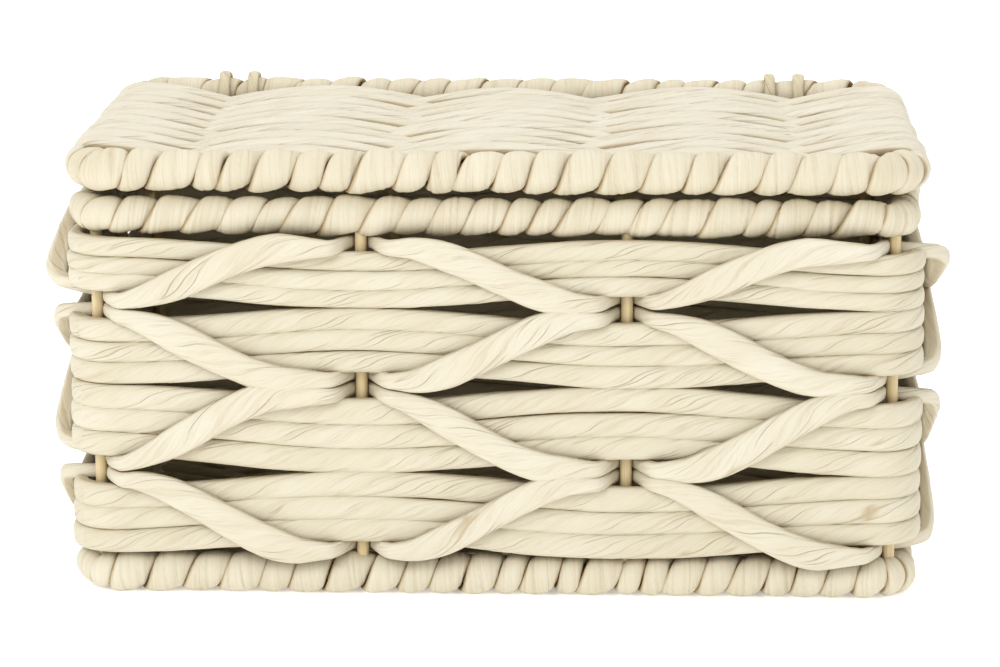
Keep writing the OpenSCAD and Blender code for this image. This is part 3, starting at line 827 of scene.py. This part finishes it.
def base_ropes():
    """The strands of the base panel, side by side over and under its cross rods."""
    low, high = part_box("base_strands")
    pitch = (high.y - low.y) / BASE_ROPES
    bed = extent("base_cross_rods").z / 2 + BASE_HALF_T
    pieces = []
    for i in range(BASE_ROPES):
        rng = np.random.default_rng(600 + i)
        side = 1.0 if i % 2 else -1.0
        x = np.linspace(low.x, high.x, int((high.x - low.x) / (2.2 * MM)))
        z = BASE_Z + weave_height(x, side, bed, bed)
        s = np.arange(len(x), dtype=float)
        y = low.y + (i + 0.5) * pitch + 0.3 * MM * wander(rng, s[-1], s, 30)
        path = np.column_stack([x, y, z])
        out = np.tile([0.0, 0.0, 1.0], (len(x), 1))
        half_w = pitch / 2 * (1.08 + 0.06 * wander(rng, s[-1], s, 20))
        pieces.append(strand(f"base_rope_{i + 1:02d}", path, out, half_w, BASE_HALF_T, seed=640 + i,
                             cols=20, power=2.5, twist=0.09, tone=rng.uniform(0.35, 0.6),
                             crease=BASE_FOLDS))
    for piece in pieces:
        placed(piece, "basket", "wall_strand", PAPER_WALL, "base_strands")


# ---------------------------------------------------------------- hinge ties

CORD_R = 1.5 * MM
CORD_HUG = 0.8 * MM  # how far the loops are drawn in towards the rims
CORD_HALF_W = 2.3 * MM
LOOP_POINTS = 150
KNOT_UP = 3 * MM
KNOT_IN = 2.6 * MM  # the knot's middle lies this far inside the back of its node
KNOT_DEPTH = 0.6  # the knot is pressed to this share of its depth
LOOP_FOLDS = dict(every=1.2 * MM, depth=0.2 * MM, width=0.2, reach=(3 * MM, 8 * MM))
KNOT_FOLDS = dict(every=1.5 * MM, depth=0.15 * MM, width=0.3, reach=(2 * MM, 5 * MM))


def smooth_loop(points, count):
    """A closed curve through the points (Catmull-Rom), with count samples."""
    p = np.asarray(points, float)
    m = len(p)
    t = np.linspace(0, m, count, endpoint=False)
    i = np.floor(t).astype(int)
    f = (t - i)[:, None]
    a, b, c, d = p[(i - 1) % m], p[i % m], p[(i + 1) % m], p[(i + 2) % m]
    square = (2 * a - 5 * b + 4 * c - d) * f ** 2
    cube = (3 * b - a - 3 * c + d) * f ** 3
    return 0.5 * (2 * b + (c - a) * f + square + cube)


def hinge_tie(node, side_name):
    """A paper cord taken twice round both back rims, and knotted behind."""
    low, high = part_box(node)
    hug = (high.z - LID_Z) - CORD_R - CORD_HUG
    centre_x = (low.x + high.x) / 2
    spacing = (high.x - low.x) / 2 - CORD_R
    on_left = side_name == "left"
    rng = np.random.default_rng(700 if on_left else 710)
    pieces = []
    for number, sx in enumerate((-1, 1)):
        angle = np.linspace(0, TAU, LOOP_POINTS, endpoint=False)
        arc = np.stack([np.cos(angle), np.sin(angle)], 1) * hug
        z = np.where(np.sin(angle) >= 0, LID_Z, TOP_Z) + arc[:, 1]
        y = HALF_D + arc[:, 0]
        sway = wander(rng, LOOP_POINTS, np.arange(float(LOOP_POINTS)), 30, True)
        x = centre_x + sx * spacing + 0.25 * MM * sway
        path = np.column_stack([x, y, z])
        # the straight stretches between the two rims need points of their own
        filled = []
        for j in range(len(path)):
            filled.append(path[j])
            following = path[(j + 1) % len(path)]
            if abs(following[2] - path[j][2]) > (LID_Z - TOP_Z) / 2:
                filled += [path[j] + (following - path[j]) * f for f in np.linspace(0, 1, 16)[1:-1]]
        path = np.array(filled)
        out = path - np.array([0, HALF_D, 0]) - np.column_stack(
            [path[:, 0], np.zeros(len(path)), np.clip(path[:, 2], TOP_Z, LID_Z)])
        out[:, 0] = 0
        out /= np.linalg.norm(out, axis=1, keepdims=True)
        swell = wander(rng, len(path), np.arange(float(len(path))), 22, True)
        half_w = CORD_HALF_W * (1 + 0.12 * swell)
        pieces.append(strand(f"{side_name}_tie_loop_{number + 1}", path, out, half_w, CORD_R * 0.75,
                             closed=True, seed=720 + number + (5 if on_left else 0), cols=24, power=2.1,
                             twist=0.03, tone=0.5, crease=LOOP_FOLDS))

    # the knot's line, in millimetres from its middle: it starts on one loop and passes to the other
    wide = spacing / MM
    knot = [(-wide, 0.6, 0.4), (-3.4, 1.0, 1.2), (-0.6, 1.9, 1.6), (2.2, 0.2, 0.6), (1.4, -1.4, -1.6),
            (-1.6, 0.4, -1.9), (-2.4, 1.8, 0.2), (0.4, 2.0, 1.9), (3.2, 1.0, 0.8), (wide, 0.4, -0.4),
            (3.4, -0.9, -1.4), (0.2, -0.6, -1.2), (-3.2, -0.8, -1.0)]
    middle_at = np.array([centre_x, high.y - KNOT_IN, TOP_Z + KNOT_UP])
    path = smooth_loop(middle_at + np.array(knot) * MM * np.array([1, KNOT_DEPTH, 1]), 170)
    out = np.tile([0.0, 1.0, 0.25], (len(path), 1))
    pieces.append(strand(f"{side_name}_tie_knot", path, out, CORD_R * 0.8, CORD_R * 0.8, closed=True,
                         seed=733, cols=16, power=2.1, twist=0.02, tone=0.45, crease=KNOT_FOLDS))
    for piece in pieces:
        placed(piece, "basket", "tie_cord", PAPER_TIE, node)


# ---------------------------------------------------------------- CAD nodes that stay


def dress_rods():
    finishes = {"base_cross_rods": REED_LEVEL, "lid_cross_rods": REED_LEVEL, "base_rod": RATTAN,
                "top_rod": RATTAN, "lid_rod": RATTAN}
    finishes.update({name: REED_UPRIGHT for name in STAKES})
    for name, material in finishes.items():
        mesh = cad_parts[name].data
        mesh.materials.clear()
        mesh.materials.append(material)


# ---------------------------------------------------------------- stage

FLOOR_HALF = 6.0
FLOOR_GLOW = 0.22
WORLD_STRENGTH = 0.66


def make_stage():
    """A white floor, a white world and two soft lights."""
    floor_mesh = bpy.data.meshes.new("floor")
    far = FLOOR_HALF
    floor_mesh.from_pydata([(-far, -far, 0), (far, -far, 0), (far, far, 0), (-far, far, 0)], [],
                           [(0, 1, 2, 3)])
    floor = bpy.data.objects.new("floor", floor_mesh)
    bpy.context.scene.collection.objects.link(floor)
    n = Nodes("floor_white")
    n.shader.inputs["Base Color"].default_value = (0.95, 0.95, 0.95, 1)
    n.shader.inputs["Roughness"].default_value = 0.9
    n.shader.inputs["Specular IOR Level"].default_value = 0.0
    n.shader.inputs["Emission Color"].default_value = (1, 1, 1, 1)
    n.shader.inputs["Emission Strength"].default_value = FLOOR_GLOW
    floor_mesh.materials.append(n.material)

    world = bpy.data.worlds.new("studio")
    bpy.context.scene.world = world
    world.use_nodes = True
    background = world.node_tree.nodes["Background"]
    background.inputs["Color"].default_value = (1.0, 1.0, 1.0, 1)
    background.inputs["Strength"].default_value = WORLD_STRENGTH

    def softbox(name, place, aim, size, power):
        light = bpy.data.lights.new(name, "AREA")
        light.energy = power
        light.shape = "RECTANGLE"
        light.size, light.size_y = size
        obj = bpy.data.objects.new(name, light)
        bpy.context.scene.collection.objects.link(obj)
        obj.location = place
        obj.rotation_euler = (Vector(aim) - Vector(place)).to_track_quat("-Z", "Y").to_euler()

    softbox("key", (-0.7, -1.3, 1.1), (0, 0, 0.08), (0.9, 0.7), 5.2)
    softbox("top", (0.1, 0.2, 1.5), (0, 0, 0.1), (1.2, 0.9), 3.2)


# ---------------------------------------------------------------- build

make_camera()
make_stage()
dress_rods()
for row_number in ROWS:
    for level_number in range(len(LEVELS)):
        wall_strand(row_number, level_number)
    lacing(row_number)
rims()
for lid_number, lid_node in enumerate(LID_STRANDS, 1):
    lid_rope(lid_number, lid_node)
base_ropes()
hinge_tie("left_hinge_tie", "left")
hinge_tie("right_hinge_tie", "right")

scene = bpy.context.scene
scene.view_settings.view_transform = "Standard"
scene.view_settings.look = "High Contrast"
